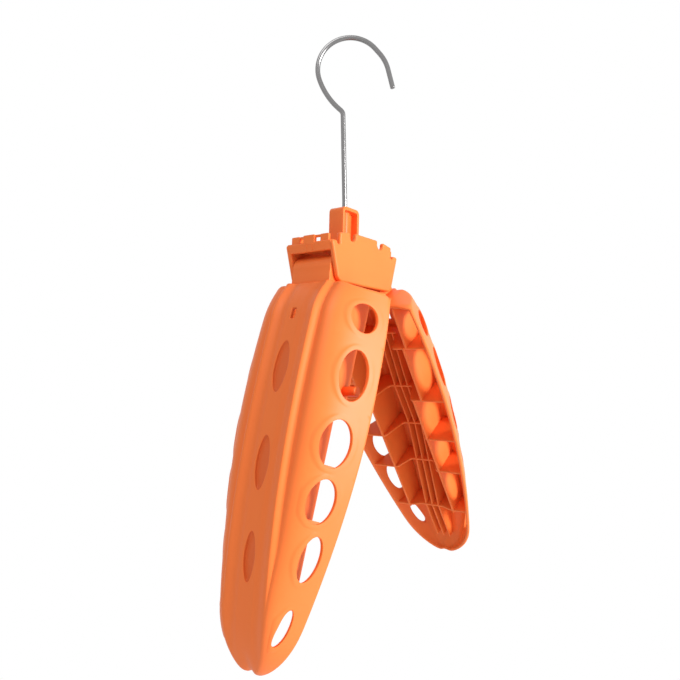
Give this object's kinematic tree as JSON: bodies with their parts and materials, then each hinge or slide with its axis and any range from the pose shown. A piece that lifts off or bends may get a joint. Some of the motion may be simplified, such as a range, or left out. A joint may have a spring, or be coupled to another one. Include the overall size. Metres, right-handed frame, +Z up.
{
  "type": "wetsuit hanger",
  "caption": "Wetsuit hanger with a swivelling wire hook, a slotted housing and two wide fluted arms with side openings that fold down on hinge pins.",
  "frame": {"origin": "inner surface of the hook wire straight above the swivel axis, where the hanger rests on a rail", "axes": "+Z up along the swivel axis, +X along the hanger's length to the wider opened arm, -Y to the front"},
  "size_m": [0.2103, 0.0856, 0.3615],
  "materials": {
    "hook": "bright stainless wire",
    "hook_washer": "plain",
    "hook_carrier": "satin orange moulding",
    "housing": "satin orange moulding",
    "left_arm": "satin orange moulding",
    "right_arm": "satin orange moulding",
    "left_pivot_pin": "plain",
    "right_pivot_pin": "plain"
  },
  "bodies": {
    "hook": {"hook": "hook"},
    "housing": {"housing": "housing", "hook_carrier": "hook_carrier", "hook_washer": "hook_washer", "left_pivot_pin": "left_pivot_pin", "right_pivot_pin": "right_pivot_pin"},
    "left_arm": {"left_arm": "left_arm"},
    "right_arm": {"right_arm": "right_arm"}
  },
  "joints": [
    {"name": "hook_swivel", "type": "hinge", "parent": "hook", "child": "housing", "pos_m": [0, 0, -0.1155], "axis": [0, 0, 1], "continuous": true},
    {"name": "left_arm_fold", "type": "hinge", "parent": "housing", "child": "left_arm", "pos_m": [-0.022, 0, -0.1455], "axis": [0, 1, 0], "range_deg": [-17.24, 54.76]},
    {"name": "right_arm_fold", "type": "hinge", "parent": "housing", "child": "right_arm", "pos_m": [0.022, 0, -0.1455], "axis": [0, -1, 0], "range_deg": [-35.86, 36.14]}
  ]
}
